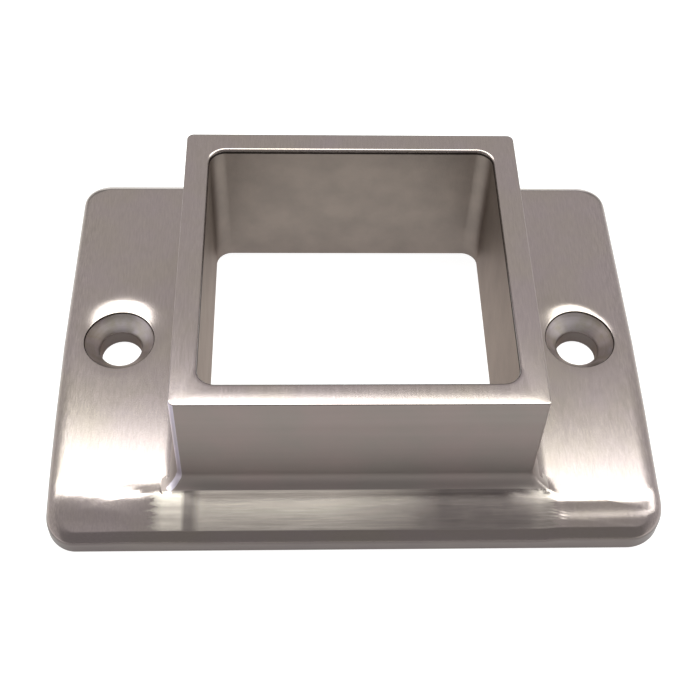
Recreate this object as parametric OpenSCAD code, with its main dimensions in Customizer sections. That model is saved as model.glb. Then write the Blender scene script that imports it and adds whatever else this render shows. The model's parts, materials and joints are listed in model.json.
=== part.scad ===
// Base flange for square tube, cast in one piece from stainless steel.
// A rectangular foot with two countersunk screw holes carries a square collar, and the
// collar's socket is open right through, so that the tube can stand on the floor itself.
// The long side of the foot runs along X, the front is -Y, +Z is up, and the origin is at
// the centre of the underside.

/* [Socket] */
// Outside size of the square tube that the socket takes
tube_w = 38.1; // [25:0.1:45]
// Difference between the socket's inside size and the tube
tube_clear = 0.5; // [0.2:0.1:1]
// Radius of the socket's four upright inside corners
socket_r = 2.2; // [1:0.1:4]
// Size of the bevel round the mouth of the socket
mouth_bevel = 0.3; // [0.1:0.05:0.8]

/* [Collar] */
// Thickness of the collar's wall
wall_t = 3.2; // [2:0.05:5]
// Height of the rim above the underside
collar_h = 21.5; // [16:0.5:40]
// Radius of the collar's four upright outside corners
collar_r = 0.9; // [0.6:0.1:2]
// Roll of the rim's outer edge
rim_roll = 0.4; // [0.2:0.05:0.5]
// Radius of the fillet where the collar stands on the foot
fillet_r = 2.4; // [1:0.1:3.5]

/* [Foot] */
// How far the foot reaches past the collar at each side, where the screws go
wing_w = 16.75; // [15:0.25:30]
// How far the foot reaches past the collar at the front and the back
shelf_w = 7.5; // [6:0.25:15]
// Thickness of the foot
foot_t = 4.2; // [3.8:0.1:8]
// Radius of the foot's four upright corners
foot_r = 4.5; // [3:0.25:8]
// Roll of the foot's top edge
foot_roll = 1.5; // [0.8:0.1:2]
// How far from the front and back edges the polished top starts to fall
fall_run = 5; // [4.5:0.25:5.5]
// Angle by which the polished top falls there
fall_angle = 12; // [4:1:16]
// Radius by which the flat top bends into the fall
fall_bend = 5; // [2:0.5:8]

/* [Screw holes] */
// Distance of each screw hole's centre from the foot's side edge
screw_edge = 7.5; // [7:0.25:12]
// Diameter of the screw holes
screw_d = 5.5; // [4:0.1:6.5]
// Diameter of the countersinks where they meet the foot's top
head_d = 9.8; // [8:0.1:12]
// Full angle of the countersinks
head_angle = 90; // [82:1:100]
// Width of the polished dish round each countersink
dish_run = 1.1; // [0.5:0.1:2]
// Depth of the polished dish at the countersink's edge
dish_drop = 0.1; // [0.05:0.01:0.2]

/* [Hidden] */
$fn = 96;

// Step by which one surface crosses another where the real ones run together
skim = 0.01;
// Length by which a cut runs past what it cuts
past = 1;

socket_w = tube_w + tube_clear;
collar_w = socket_w + 2 * wall_t;
foot_w = collar_w + 2 * wing_w;
foot_d = collar_w + 2 * shelf_w;
screw_x = foot_w / 2 - screw_edge;

// The fillet ends on the flat part of the foot's top
fillet = min(fillet_r, shelf_w - fall_run);

// Side view of the foot's top, from the middle to the edge: where the fall starts, where
// its bend ends, and the centre and the start of the roll at the edge
fall_start = foot_d / 2 - fall_run;
bend_end = [fall_start + fall_bend * sin(fall_angle), foot_t - fall_bend * (1 - cos(fall_angle))];
roll_y = foot_d / 2 - foot_roll;
roll_z = bend_end.y - (roll_y - bend_end.x) * tan(fall_angle) - foot_roll / cos(fall_angle);
roll_start = [roll_y + foot_roll * sin(fall_angle), roll_z + foot_roll * cos(fall_angle)];

// Radius of the arc of the dish, from its rim down to the countersink
dish_arc = (dish_run * dish_run + dish_drop * dish_drop) / (2 * dish_drop);
dish_r = head_d / 2 + dish_run;
head_depth = (head_d - screw_d) / 2 / tan(head_angle / 2);

// Carries a section round a rectangle with rounded corners. In the section, x is the
// distance outwards from the centre of a corner's arc, and y is the height.
module around(w, d, r) {
    run_w = w - 2 * r;
    run_d = d - 2 * r;
    for (turn = [0 : 3]) {
        run = turn % 2 == 0 ? run_w : run_d;
        reach = turn % 2 == 0 ? run_d : run_w;
        rotate([0, 0, 90 * turn]) {
            translate([run / 2, -reach / 2, 0])
                rotate([90, 0, -90])
                    linear_extrude(run)
                        children();
            translate([run / 2, reach / 2, 0])
                rotate_extrude(angle = 90)
                    children();
        }
    }
}

// Section of a block's rim: upright outside, with its top edge rolled over
module rolled_section(r, h, roll) {
    intersection() {
        square([r, h]);
        union() {
            square([r, h - roll]);
            square([r - roll, h]);
            translate([r - roll, h - roll])
                circle(roll);
        }
    }
}

// Block with rounded upright corners and a rolled top edge
module rolled_block(w, d, h, r, roll) {
    translate([r - w / 2, r - d / 2, 0])
        cube([w - 2 * r, d - 2 * r, h]);
    around(w, d, r)
        rolled_section(r, h, roll);
}

// Outline of the foot from the side: flat on top, bent down to the polished falls at the
// front and the back, and rolled over into the upright edges
module foot_outline() {
    translate([-fall_start, 0])
        square([2 * fall_start, foot_t]);
    for (side = [0, 1])
        mirror([side, 0]) {
            intersection() {
                translate([fall_start, foot_t - fall_bend])
                    circle(fall_bend, $fn = 256);
                translate([fall_start, 0])
                    square([bend_end.x - fall_start, foot_t]);
            }
            polygon([
                [fall_start, 0],
                [fall_start, bend_end.y],
                bend_end,
                roll_start,
                [roll_y, roll_z],
                [foot_d / 2, roll_z],
                [foot_d / 2, 0]
            ]);
            translate([roll_y, roll_z])
                circle(foot_roll);
        }
}

module foot() {
    intersection() {
        rolled_block(foot_w, foot_d, foot_t + skim, foot_r, foot_roll);
        translate([-foot_w / 2 - past, 0, 0])
            rotate([90, 0, 90])
                linear_extrude(foot_w + 2 * past)
                    foot_outline();
    }
}

// Fillet between the collar and the foot, with its root sunk into both
module collar_fillet() {
    around(collar_w, collar_w, collar_r)
        difference() {
            square([collar_r + fillet, foot_t + fillet - skim]);
            translate([collar_r + fillet, foot_t + fillet - skim])
                circle(fillet);
        }
}

module collar() {
    rolled_block(collar_w, collar_w, collar_h, collar_r, rim_roll);
}

// Plan of the socket
module socket_plan() {
    flat = socket_w - 2 * socket_r;
    square([socket_w, flat], center = true);
    square([flat, socket_w], center = true);
    for (x = [-1, 1], y = [-1, 1])
        translate([x * flat / 2, y * flat / 2])
            circle(socket_r);
}

// Cut for the bevel round the socket's mouth
module mouth_cut() {
    around(socket_w, socket_w, socket_r)
        translate([socket_r, collar_h])
            polygon([
                [-past, past],
                [-past, -mouth_bevel],
                [0, -mouth_bevel],
                [mouth_bevel + past, past]
            ]);
}

// Cut for one screw hole: the hole, its countersink and the polished dish round it
module screw_cut() {
    translate([0, 0, -past])
        cylinder(h = foot_t + 2 * past, d = screw_d);
    translate([0, 0, foot_t - dish_drop - head_depth])
        cylinder(h = head_depth, d1 = screw_d, d2 = head_d);
    rotate_extrude()
        difference() {
            translate([0, foot_t - dish_drop])
                square([dish_r, dish_drop + skim]);
            translate([dish_r, foot_t - dish_arc + skim])
                circle(dish_arc, $fn = 256);
        }
}

module flange() {
    color("#91877f")
        difference() {
            union() {
                foot();
                collar();
                collar_fillet();
            }
            translate([0, 0, -past])
                linear_extrude(collar_h + 2 * past)
                    socket_plan();
            mouth_cut();
            for (side = [-1, 1])
                translate([side * screw_x, 0, 0])
                    screw_cut();
        }
}

flange();
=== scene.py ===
"""Square tube base flange, one stainless steel casting with a hand-brushed finish.

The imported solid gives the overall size, the screws' spacing and the hole size. This script
builds the casting's skin again as one smooth mesh, with the ground falls, the dished
countersinks and the hand-ground marks that the real one shows, and dresses it.

Sizes are in millimetres until a mesh is made. X runs along the foot's long side, -Y is the
front, and Z is up from the underside.
"""

import json
import logging
import math
from dataclasses import dataclass, field
from enum import Enum, IntEnum

import bpy
import numpy as np
from mathutils import Matrix, Vector


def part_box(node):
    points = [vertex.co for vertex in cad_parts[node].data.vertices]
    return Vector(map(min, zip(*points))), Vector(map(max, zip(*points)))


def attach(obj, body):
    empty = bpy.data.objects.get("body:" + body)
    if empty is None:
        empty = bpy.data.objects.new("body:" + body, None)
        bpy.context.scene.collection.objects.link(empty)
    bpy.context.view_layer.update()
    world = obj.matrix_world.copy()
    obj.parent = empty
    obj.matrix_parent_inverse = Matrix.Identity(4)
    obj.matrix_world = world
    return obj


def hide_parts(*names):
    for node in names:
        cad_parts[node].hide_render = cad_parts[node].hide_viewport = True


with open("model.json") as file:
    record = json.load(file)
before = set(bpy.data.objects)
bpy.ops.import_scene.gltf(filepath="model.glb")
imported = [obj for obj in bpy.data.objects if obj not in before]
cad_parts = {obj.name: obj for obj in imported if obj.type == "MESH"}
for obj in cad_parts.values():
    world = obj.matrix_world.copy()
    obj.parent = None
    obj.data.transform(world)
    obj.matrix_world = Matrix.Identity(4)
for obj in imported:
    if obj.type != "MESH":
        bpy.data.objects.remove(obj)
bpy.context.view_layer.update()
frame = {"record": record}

Tree = bpy.types.NodeTree
Node = bpy.types.Node
Socket = bpy.types.NodeSocket
Source = Node | Socket
# Places, or shares of a way, with a value at each
Curve = tuple[tuple[float, float], ...]

LOG = logging.getLogger("flange")
MM = 0.001
FRAME_PX = 700

# The outward ways of the casting's four sides, anticlockwise from the right one
SIDES = ((1, 0), (0, 1), (-1, 0), (0, -1))

# Values between which most of a noise texture lies: for lightness, and for streaks in roughness
TONE_NOISE = (0.35, 0.65)
STREAK_NOISE = (0.3, 0.7)
# How many streaks in roughness there are to one fine line
STREAK_SHARE = 0.22


class Skin(IntEnum):
    """The finishes of the casting's skin, in the order of its material slots."""

    BRUSHED = 0
    SATIN = 1
    CAST = 2
    TURNED = 3
    GROUND = 4
    EDGE = 5
    SHELF = 6
    ARRIS_HIGHLIGHT = 7
    BORED = 8
    # Painted shade: a near-black band in the steps at the socket's mouth and the countersinks
    SHADE_LINE = 9


class Lines(Enum):
    """Which way a finish's fine lines run."""

    FOOT = "along the depth, and across on the ends"
    ACROSS = "along the foot's long side"
    ROUND = "level, round the collar"
    TURN = "round the nearer screw hole"
    NONE = "no way"


def linear(code: str) -> tuple[float, float, float, float]:
    """Turns an sRGB hex colour into a linear one.

    Args:
        code: The colour as six hex digits, such as "91877f".

    Returns:
        Red, green, blue and an alpha of 1.
    """
    parts = [int(code[i : i + 2], 16) / 255 for i in (0, 2, 4)]
    r, g, b = (c / 12.92 if c <= 0.04045 else ((c + 0.055) / 1.055) ** 2.4 for c in parts)
    return r, g, b, 1.0


def add(tree: Tree, kind: str, settings: dict | None = None, links: dict | None = None) -> Node:
    """Adds a node to a tree.

    Args:
        tree: The node tree.
        kind: The node's type name.
        settings: Attributes by name, and input values by the input's name or number.
        links: What feeds each input: an output socket, or a node whose first output is meant.

    Returns:
        The new node.
    """
    node = tree.nodes.new(kind)
    for key, value in (settings or {}).items():
        if isinstance(key, int) or not hasattr(node, key):
            node.inputs[key].default_value = value
        else:
            setattr(node, key, value)
    for key, source in (links or {}).items():
        tree.links.new(source.outputs[0] if isinstance(source, Node) else source, node.inputs[key])
    return node


def maths(tree: Tree, operation: str, *values: Source | float) -> Node:
    """Adds a maths node.

    Args:
        tree: The node tree.
        operation: The operation's name.
        values: What its inputs take, in their order: numbers, output sockets or nodes.

    Returns:
        The new node.
    """
    numbers = {i: value for i, value in enumerate(values) if isinstance(value, (int, float))}
    links = {i: value for i, value in enumerate(values) if i not in numbers}
    return add(tree, "ShaderNodeMath", {"operation": operation, **numbers}, links)


def spread(
    tree: Tree,
    value: Source,
    old: tuple[float, float],
    new: tuple[float, float] = (0.0, 1.0),
    way: str = "LINEAR",
) -> Node:
    """Adds a node that carries one range of values over to another and stops at its ends.

    Args:
        tree: The node tree.
        value: What gives the value.
        old: The range's ends.
        new: What they become.
        way: How it goes from one to the other.

    Returns:
        The new node.
    """
    ends = {"From Min": old[0], "From Max": old[1], "To Min": new[0], "To Max": new[1]}
    return add(tree, "ShaderNodeMapRange", {"interpolation_type": way, **ends}, {"Value": value})


def noise(tree: Tree, place: Source, scale: float, detail: float, roughness: float) -> Node:
    """Adds a noise texture.

    Args:
        tree: The node tree.
        place: What gives the place.
        scale: How many of its bumps fit in one unit of the place.
        detail: How many times finer noise is added to it.
        roughness: How strong the finer noise is.

    Returns:
        The new node.
    """
    look = {"Scale": scale, "Detail": detail, "Roughness": roughness}
    return add(tree, "ShaderNodeTexNoise", look, {"Vector": place})


def new_material(name: str) -> bpy.types.Material:
    """Makes a material whose tree is empty."""
    material = bpy.data.materials.new(name)
    material.use_nodes = True
    material.node_tree.nodes.clear()
    return material


def ease(low: float, high: float, value: np.ndarray) -> np.ndarray:
    """Gives 0 below low, 1 above high and an even ease between them."""
    t = np.clip((value - low) / (high - low), 0.0, 1.0)
    return t * t * (3 - 2 * t)


def window(stops: tuple[float, float, float, float], value: np.ndarray) -> np.ndarray:
    """Gives 0 outside the four stops, 1 between the inner two and an even ease between those."""
    return ease(*stops[:2], value) * (1 - ease(*stops[2:], value))


def rolled(tilts: Curve, reach: float, steps: int = 14, fine: int = 40) -> list[tuple[float, float]]:
    """Works out the section of a rolled edge from how it tilts.

    Args:
        tilts: Shares of the way round the edge, and the tilt at each, degrees.
        reach: How far out the edge goes, mm.
        steps: Number of points.
        fine: Number of fine steps from point to point.

    Returns:
        How far out and how far down each point is, mm, without the first.
    """
    shares = np.linspace(0, 1, fine * steps + 1)
    angles = np.radians(np.interp((shares[1:] + shares[:-1]) / 2, *zip(*tilts)))
    out, down = np.cumsum(np.cos(angles)), np.cumsum(np.sin(angles))
    size = reach / out[-1]
    return [(out[i] * size, down[i] * size) for i in range(fine - 1, len(out), fine)]


def mesh_object(
    name: str, points: np.ndarray, faces: list[tuple[int, ...]], finishes: list[int]
) -> bpy.types.Object:
    """Makes a mesh object with a finish number on each face.

    Args:
        name: The object's name.
        points: Points in mm, one row each.
        faces: Point numbers of each face.
        finishes: Finish number of each face.

    Returns:
        The object, linked to the scene.
    """
    mesh = bpy.data.meshes.new(name)
    mesh.from_pydata((points * MM).tolist(), [], faces)
    mesh.attributes.new("finish", "INT", "FACE").data.foreach_set("value", finishes)
    obj = bpy.data.objects.new(name, mesh)
    bpy.context.scene.collection.objects.link(obj)
    return obj


@dataclass(frozen=True)
class Grid:
    """How the skin's points are spread round the casting.

    Args:
        eye_cells: Cells along each side of the patch that a screw hole's eye takes.
        eye_half: Half the patch's length along Y, mm.
        wing_half: Half the length of the wing's straight at the patch, mm.
        wing_cells: Cells from the patch to the end of the wing's straight, at each end.
        shelf_cells: Cells along the front or the back straight.
        corner_cells: Cells round a corner.
    """

    eye_cells: int = 36
    eye_half: float = 6.6
    wing_half: float = 24.0
    wing_cells: int = 22
    shelf_cells: int = 64
    corner_cells: int = 28

    def steps(self, side: int) -> np.ndarray:
        """Fractions along a side's straight, without its end."""
        if SIDES[side][1]:
            return np.linspace(0, 1, self.shelf_cells + 1)[:-1]
        low = 0.5 - self.eye_half / self.wing_half / 2
        stops = [(0, low, self.wing_cells), (low, 1 - low, self.eye_cells), (1 - low, 1, self.wing_cells)]
        return np.concatenate([np.linspace(a, b, n + 1)[:-1] for a, b, n in stops])

    def turn(self, side: int) -> np.ndarray:
        """Angles round the corner after a side, without the last, in radians from +X."""
        return (side + np.linspace(0, 1, self.corner_cells + 1)[:-1]) * math.pi / 2

    def patch_starts(self) -> tuple[int, int]:
        """Index of the first point of the eye's patch on the right wing and on the left one."""
        half_turn = 2 * self.wing_cells + self.eye_cells + self.shelf_cells + 2 * self.corner_cells
        return self.wing_cells, half_turn + self.wing_cells

    def plan(self, half_w: float, half_d: float, corners: tuple[float, ...]) -> np.ndarray:
        """Places the points on a rounded rectangle, anticlockwise from the right wing's front.

        Args:
            half_w: Half its width along X, mm.
            half_d: Half its depth along Y, mm.
            corners: Its corner radii, mm: back right, back left, front left, front right.

        Returns:
            X and Y, one row for each point.
        """
        rows = []
        for side, (nx, ny) in enumerate(SIDES):
            before, after = corners[side - 1], corners[side]
            reach, run = (half_w, half_d) if nx else (half_d, half_w)
            along = before - run + self.steps(side) * (2 * run - before - after)
            rows.append(np.stack([nx * reach - ny * along, ny * reach + nx * along], 1))
            centre = np.array([nx, ny]) * (reach - after) + np.array([-ny, nx]) * (run - after)
            turn = self.turn(side)
            rows.append(centre + after * np.stack([np.cos(turn), np.sin(turn)], 1))
        return np.concatenate(rows)

    def facing(self) -> np.ndarray:
        """The level way that each point faces, the same on every ring."""
        rows = []
        for side, way in enumerate(SIDES):
            rows.append(np.tile(np.array(way, float), (len(self.steps(side)), 1)))
            turn = self.turn(side)
            rows.append(np.stack([np.cos(turn), np.sin(turn)], 1))
        return np.concatenate(rows)


@dataclass(frozen=True)
class ScrewEye:
    """A countersunk screw hole with the dish that the polishing wheel left round it.

    Args:
        x: Distance of the hole's axis from the socket's axis, mm.
        hole_r: Radius of the hole, mm.
        head_r: Radius of the countersink's rim, mm.
        lip: Radius of the countersink's worn rim, mm.
        step: Depth of the crisp step under the rim, mm.
        draft: How much wider the hole is at its top than at its foot, mm.
        edge: Size of its broken edge at the underside, mm.
        hold: Distance of the rings that keep the hole's edges crisp, mm.
        dish_r: Radius at which the dish starts, mm.
        dish_drop: How far the dish has fallen at the countersink's rim, mm.
    """

    x: float
    hole_r: float
    head_r: float = 4.66
    lip: float = 0.09
    step: float = 0.2
    draft: float = 0.12
    edge: float = 0.15
    hold: float = 0.08
    dish_r: float = 6.3
    dish_drop: float = 0.02

    def dish(self, x: np.ndarray, y: np.ndarray) -> np.ndarray:
        """How far the foot's top has fallen in the dish at each point, mm."""
        away = np.hypot(np.abs(x) - self.x, y)
        run = self.dish_r - self.head_r
        return self.dish_drop * (np.clip(self.dish_r - away, 0, run + self.lip) / run) ** 2

    def section(self, rim_z: float) -> list[tuple[float, float, Skin]]:
        """The hole's section from the rim down to the underside.

        Args:
            rim_z: Height of the countersink's rim, mm.

        Returns:
            Radius, height and finish of each ring.
        """
        rows = []
        # The countersink's worn rim and the step under it are painted as a near-black band of shade
        for turn in np.linspace(0, math.pi / 2, 4):
            out = self.head_r + self.lip * (1 - math.sin(turn))
            rows.append((out, rim_z - self.lip * (1 - math.cos(turn)), Skin.SHADE_LINE))
        cone_z = rim_z - self.step
        rows.append((self.head_r, cone_z, Skin.SHADE_LINE))
        deep = self.head_r - self.hole_r - self.draft
        for share in (0.05, 0.25, 0.5, 0.75, 0.9, 1.0):
            rows.append((self.head_r - deep * share, cone_z - deep * share, Skin.TURNED))
        land_z = cone_z - deep
        # The bore is darkened with painted shade
        for z in (land_z - self.hold, land_z * 0.55, self.edge + self.hold, self.edge):
            rows.append((self.hole_r + self.draft * z / land_z, z, Skin.BORED))
        for out in (self.edge, self.edge + 0.1):
            rows.append((self.hole_r + out, 0.0, Skin.GROUND))
        return rows


@dataclass(frozen=True)
class Foot:
    """The rectangular foot, whose top falls off to the front and the back.

    Args:
        half_w: Half the foot's length along X, mm.
        half_d: Half its depth along Y, mm.
        thickness: Height of its flat top, mm.
        corners: Radii of its upright corners, mm: back right, back left, front left, front right.
        inner_corner: Radius of the corners where the rolled edge starts, mm.
        side_roll: Roll of the top edge at the sides, mm.
        end_roll: Roll of the top edge at the front and the back, mm.
        sanded: Share of the roll's way out from which the sides' sanding shows.
        edge: Size of the broken bottom edge, mm.
        shelf_lift: How far the front shelf starts above the flat top, on the fillet, mm.
    """

    half_w: float
    half_d: float
    thickness: float = 4.2
    corners: tuple[float, ...] = (4.1, 3.9, 4.1, 4.9)
    inner_corner: float = 2.1
    side_roll: float = 2.2
    end_roll: float = 1.3
    # sanded: Share of the roll's way out from which the sides' sanded finish, darkened with painted shade,
    # shows.
    sanded: float = 0.93
    edge: float = 0.2
    shelf_lift: float = 0.046

    def drop(self, y: np.ndarray, tilts: Curve, step: float = 0.02) -> np.ndarray:
        """How far a fall has dropped at each distance from the middle.

        Args:
            y: Distances from the middle along Y, mm.
            tilts: Distances from the middle, mm, and the top's tilt at each, degrees.
            step: Step by which the tilts are summed, mm.

        Returns:
            The drop at each distance, mm.
        """
        places = np.arange(tilts[0][0], self.half_d + 1, step)
        slopes = np.tan(np.radians(np.interp(places, *zip(*tilts))))
        return np.interp(np.abs(y), places, np.cumsum(slopes) * step)

    def top(self, x: np.ndarray, y: np.ndarray) -> np.ndarray:
        """Height of the top at each point, mm."""
        along, out = np.abs(x), np.abs(y)
        right = self.drop(out + np.interp(along, *zip(*RIGHT_PULL)), RIGHT_FALL)
        left = self.drop(out + np.interp(along, *zip(*LEFT_PULL)), LEFT_FALL)
        shelf = self.drop(y, SHELF_FALL)
        shelf += (self.drop(y, PATCH_FALL) - shelf) * ease(*PATCH_START, -x)
        shelf -= self.shelf_lift * ease(*LIFT_START, -y)
        right_front = shelf + (right - shelf) * ease(*RIGHT_START, along)
        left_front = shelf + (left - shelf) * ease(*LEFT_START, along)
        front = np.where(x > 0, right_front, left_front)
        return self.thickness - np.where(y < 0, front, self.drop(y, BACK_FALL))


@dataclass(frozen=True)
class Collar:
    """The square collar and its socket.

    Args:
        height: Height of the rim above the underside, mm.
        socket: Half the socket's inside width, mm.
        socket_corner: Radius of its upright corners, mm.
        socket_edge: Size of its broken edge at the underside, mm.
        wall: Thickness of the wall, mm.
        corners: Radii of the outside corners, mm: back right, back left, front left, front right.
        sharpest: Least radius of a corner on the rim, mm.
        rim_roll: Roll of the rim's outer edge, mm.
        crown: How far the rim's top falls to its outer edge, mm.
        crown_at: Where the rim is highest, as a share of its width from the inside.
        bevel_w: Width of the steep bevel below the mouth's rounding, mm.
        bevel_h: Height of that bevel, mm.
        mouth_w: Width of the mouth's rounding, mm.
        mouth_h: Depth of the mouth's rounding, mm.
        fillet: Radius of the fillet into the foot, mm.
        mitre: How much a corner's radius grows for each millimetre down the fillet.
    """

    height: float
    socket: float = 19.3
    socket_corner: float = 2.2
    socket_edge: float = 0.15
    wall: float = 3.2
    corners: tuple[float, ...] = (0.9, 0.9, 0.9, 0.45)
    sharpest: float = 0.06
    rim_roll: float = 0.16
    crown: float = 0.024
    crown_at: float = 0.43
    bevel_w: float = 0.07
    bevel_h: float = 0.32
    mouth_w: float = 0.4
    mouth_h: float = 0.3
    fillet: float = 2.1
    mitre: float = 0.12

    @property
    def outside(self) -> float:
        """Half the collar's outside width, mm."""
        return self.socket + self.wall

    @property
    def reach(self) -> float:
        """How far from the axis the fillet ends, mm."""
        return self.outside + self.fillet


@dataclass(frozen=True)
class Belt:
    """How far the grinding belt reached over the foot and the collar's fillet, and where a highlight is
    painted up the fillet's corner.

    Args:
        left, right: Ends of the cross-brushed shelf along X, mm.
        back, front: Its ends along Y, mm.
        frays: Size of each wave of its ragged left end, mm, the wave's rate and its start.
        shelf_rise: How far above the foot's flat top its brushing shows, mm.
        wing_rise: How far up the fillet the wings' brushing runs, mm.
        wing_half: Half the length of that brushing along Y, mm.
        arris_half: Half the width of the painted highlight on the arris at the fillet's front left corner,
            mm.
        arris_rise: How far above the foot's flat top the arris ends, mm.
    """

    left: float = -25.6
    right: float = 25.0
    back: float = -23.85
    front: float = -28.75
    frays: tuple[tuple[float, float, float], ...] = ((0.3, 7.0, 0.0), (0.2, 19.0, 1.0))
    shelf_rise: float = 0.4
    wing_rise: float = 0.22
    wing_half: float = 21.8
    arris_half: float = 0.6
    arris_rise: float = 0.1

    def worn(self, centres: np.ndarray, finishes: np.ndarray, top: float) -> np.ndarray:
        """Gives the faces that the belt reached their own finishes.

        Args:
            centres: Centre of each face, mm.
            finishes: Finish number of each face.
            top: Height of the foot's flat top, mm.

        Returns:
            The finish numbers with those changed.
        """
        x, y, z = centres.T
        left = self.left + sum(size * np.sin(rate * y + start) for size, rate, start in self.frays)
        on_shelf = (z < top + self.shelf_rise) & (finishes != Skin.GROUND)
        on_shelf &= (x > left) & (x < self.right) & (y < self.back) & (y > self.front)
        satin = finishes == Skin.SATIN
        on_wing = satin & (z < top + self.wing_rise) & (np.abs(y) < self.wing_half)
        # The fillet's front left corner gets a pale painted highlight
        arris = satin & (x < 0) & (y < 0) & (np.abs(x - y) < self.arris_half)
        arris &= z > top + self.arris_rise
        result = np.where(on_shelf, Skin.SHELF, np.where(on_wing, Skin.BRUSHED, finishes))
        return np.where(arris, Skin.ARRIS_HIGHLIGHT, result).astype(int)


@dataclass
class Casting:
    """The whole casting, built as one closed skin of rings round the socket's axis.

    Args:
        foot: The foot.
        collar: The collar.
        eye: The screw hole, the same on both wings.
        grid: How the points are spread.
        belt: How far the grinding belt reached.
        rings: The points of each ring that has been added, mm.
        finishes: The finish of the band that comes before each ring.
    """

    foot: Foot
    collar: Collar
    eye: ScrewEye
    grid: Grid = field(default_factory=Grid)
    belt: Belt = field(default_factory=Belt)
    rings: list[np.ndarray] = field(default_factory=list)
    finishes: list[Skin] = field(default_factory=list)

    def ring(
        self,
        half_w: float,
        half_d: float,
        corners: float | tuple[float, ...],
        z: float | np.ndarray,
        finish: Skin,
    ) -> None:
        """Adds a ring, and the band of skin from the ring before it.

        Args:
            half_w: Half the ring's width, mm.
            half_d: Half the ring's depth, mm.
            corners: One corner radius for all, or four, mm.
            z: Height, or the height of each point, mm.
            finish: The band's finish.
        """
        radii = corners if isinstance(corners, tuple) else (corners,) * 4
        flat = self.grid.plan(half_w, half_d, radii)
        heights = np.broadcast_to(np.asarray(z, float), (len(flat),))
        self.rings.append(np.column_stack([flat, heights]))
        self.finishes.append(finish)

    def top(self, flat: np.ndarray) -> np.ndarray:
        """Height of the foot's top at each point, with the dishes, mm."""
        x, y = flat[:, 0], flat[:, 1]
        return self.foot.top(x, y) - self.eye.dish(x, y)

    def socket_rings(self) -> None:
        """The socket's wall from the underside to the worn edge of its mouth."""
        c, edge = self.collar, self.collar.socket_edge
        self.ring(c.socket + edge, c.socket + edge, c.socket_corner + edge, 0, Skin.GROUND)
        wall_top = c.height - c.mouth_h - c.bevel_h
        stops = [edge, edge + 0.1, *np.linspace(1.5, wall_top - 1, 5), wall_top - 0.1, wall_top]
        for z in stops:
            self.ring(c.socket, c.socket, c.socket_corner, z, Skin.CAST)

    def rim_rings(self) -> None:
        """The rim from the worn edge of the mouth over its crowned top to the outer edge."""
        c = self.collar
        dip = c.crown * c.crown_at**2 / (1 - c.crown_at) ** 2
        # The steep bevel under the mouth's rounding is painted as a near-black band of shade
        for share in (0.08, 0.5, 0.92):
            out, z = c.bevel_w * share, c.height - dip - c.mouth_h - c.bevel_h * (1 - share)
            self.ring(c.socket + out, c.socket + out, c.socket_corner + out, z, Skin.SHADE_LINE)
        for turn in np.linspace(0, math.pi / 2, 8):
            out = c.bevel_w + c.mouth_w * (1 - math.cos(turn))
            z = c.height - dip - c.mouth_h * (1 - math.sin(turn))
            self.ring(c.socket + out, c.socket + out, c.socket_corner + out, z, Skin.BRUSHED)
        start, end = c.bevel_w + c.mouth_w, c.wall - c.rim_roll
        inner = c.socket_corner + start
        for share in (0.04, *np.linspace(0.1, 0.9, 9), 0.96, 1.0):
            out = start + (end - start) * share
            radii = tuple(inner + (max(r - c.rim_roll, c.sharpest) - inner) * share for r in c.corners)
            z = c.height - c.crown * ((share - c.crown_at) / (1 - c.crown_at)) ** 2
            self.ring(c.socket + out, c.socket + out, radii, z, Skin.BRUSHED)
        for step in range(1, 6):
            turn = step / 5 * math.pi / 2
            out = end + c.rim_roll * math.sin(turn)
            radii = tuple(max(r - c.rim_roll * (1 - math.sin(turn)), c.sharpest) for r in c.corners)
            z = c.height - c.crown - c.rim_roll * (1 - math.cos(turn))
            finish = Skin.BRUSHED if step < 4 else Skin.SATIN
            self.ring(c.socket + out, c.socket + out, radii, z, finish)

    def wall_rings(self) -> None:
        """The collar's outside wall and the fillet that runs into the foot."""
        c = self.collar
        high = c.height - c.crown - c.rim_roll
        low = self.foot.thickness + c.fillet
        for share in (0.01, *np.linspace(0.1, 0.9, 6), 0.99, 1.0):
            self.ring(c.outside, c.outside, c.corners, high + (low - high) * share, Skin.SATIN)
        to_front = ease(0.5, 0.9, -self.grid.facing()[:, 1])
        for step in range(1, 17):
            share = step / 16
            turn = share * math.pi / 2
            half = c.outside + c.fillet * (1 - math.cos(turn))
            grown = c.mitre * (half - c.outside)
            radii = tuple(r + (max(c.corners) - r) * share + grown for r in c.corners)
            z = self.foot.thickness + c.fillet * (1 - math.sin(turn))
            if half > SHELF_FALL[0][0]:
                flat = self.grid.plan(half, half, radii)
                z = z + (self.foot.top(flat[:, 0], flat[:, 1]) - z) * to_front
            self.ring(half, half, radii, z, Skin.SATIN)

    def top_rings(self) -> int:
        """The foot's top from the fillet to its rolled edge.

        Returns:
            Index of the ring where the eyes' patches start.
        """
        c, f, n = self.collar, self.foot, self.grid.eye_cells
        margin = 0.015
        corner_in = max(c.corners) + c.mitre * c.fillet
        shares = [margin / 3, *np.linspace(margin, 1 - margin, n + 1), 1 - margin / 3, 1.0]
        for share in shares:
            half_w = c.reach + (f.half_w - f.side_roll - c.reach) * share
            half_d = c.reach + (f.half_d - f.end_roll - c.reach) * share
            radius = corner_in + (f.inner_corner - corner_in) * share
            flat = self.grid.plan(half_w, half_d, (radius,) * 4)
            self.ring(half_w, half_d, radius, self.top(flat), Skin.BRUSHED)
        return len(self.rings) - len(shares) + 1

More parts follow.
